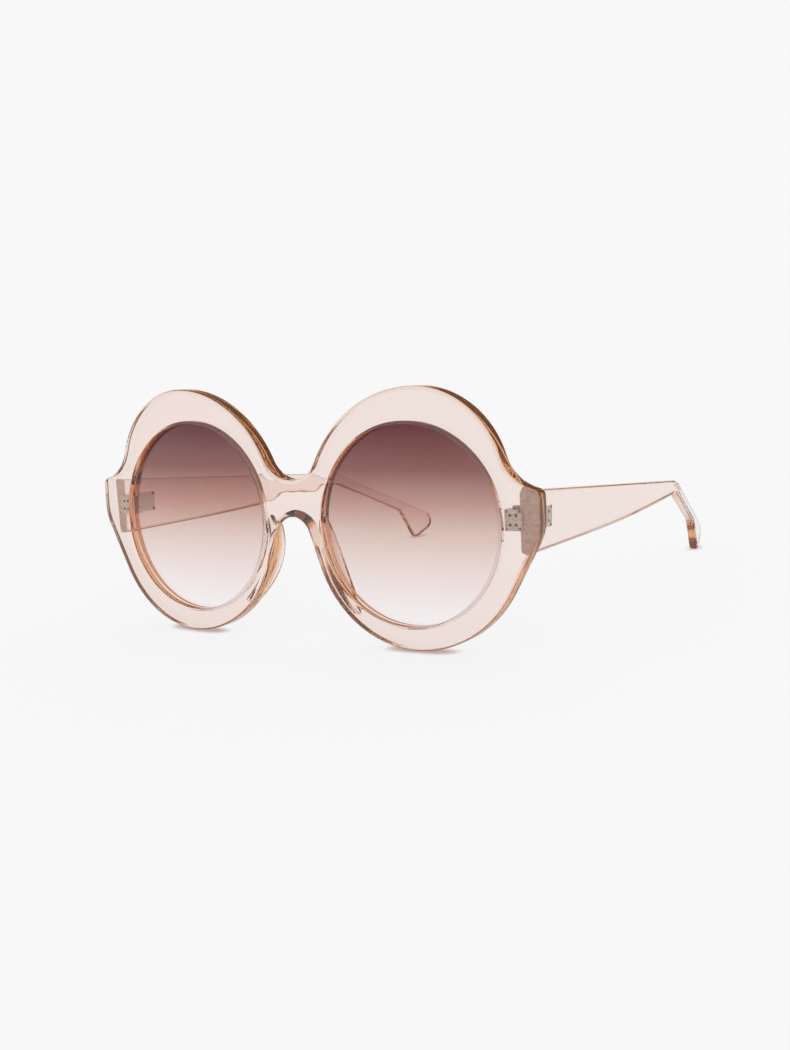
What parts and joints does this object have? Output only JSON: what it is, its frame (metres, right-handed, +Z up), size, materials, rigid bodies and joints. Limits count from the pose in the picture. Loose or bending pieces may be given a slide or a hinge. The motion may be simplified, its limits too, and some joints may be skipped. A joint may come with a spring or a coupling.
{
  "type": "sunglasses",
  "caption": "Oversized round sunglasses with a clear champagne plastic front, brown gradient lenses, moulded nose pads and tall temples that fold on sunk barrel hinges.",
  "frame": {"origin": "middle of the footprint on the surface that the rims and the left temple tip stand on", "axes": "+X towards the wearer's left, +Y back along the temples, +Z up"},
  "size_m": [0.1492, 0.1336, 0.0692],
  "materials": {
    "champagne_plastic": "polished clear champagne-pink plastic",
    "gradient_lens": "polished lens, brown tint fading to clear at the bottom",
    "nickel_silver": "tumbled nickel silver",
    "screw_steel": "turned steel"
  },
  "bodies": {
    "front": {"frame_front": "champagne_plastic", "lens_left": "gradient_lens", "lens_right": "gradient_lens", "hinge_front_leaf_left": "nickel_silver", "hinge_front_leaf_right": "nickel_silver", "hinge_screw_left": "screw_steel", "hinge_screw_right": "screw_steel"},
    "left_temple": {"temple_left": "champagne_plastic", "hinge_temple_leaf_left": "nickel_silver"},
    "right_temple": {"temple_right": "champagne_plastic", "hinge_temple_leaf_right": "nickel_silver"}
  },
  "joints": [
    {"name": "left_fold", "type": "hinge", "parent": "front", "child": "left_temple", "pos_m": [0.06599, -0.05467, 0.03446], "axis": [0, 0.0855, 0.9963], "range_deg": [0, 85]},
    {"name": "right_fold", "type": "hinge", "parent": "front", "child": "right_temple", "pos_m": [-0.06599, -0.05467, 0.03446], "axis": [0, -0.0855, -0.9963], "range_deg": [-8.5, 62.5]}
  ]
}
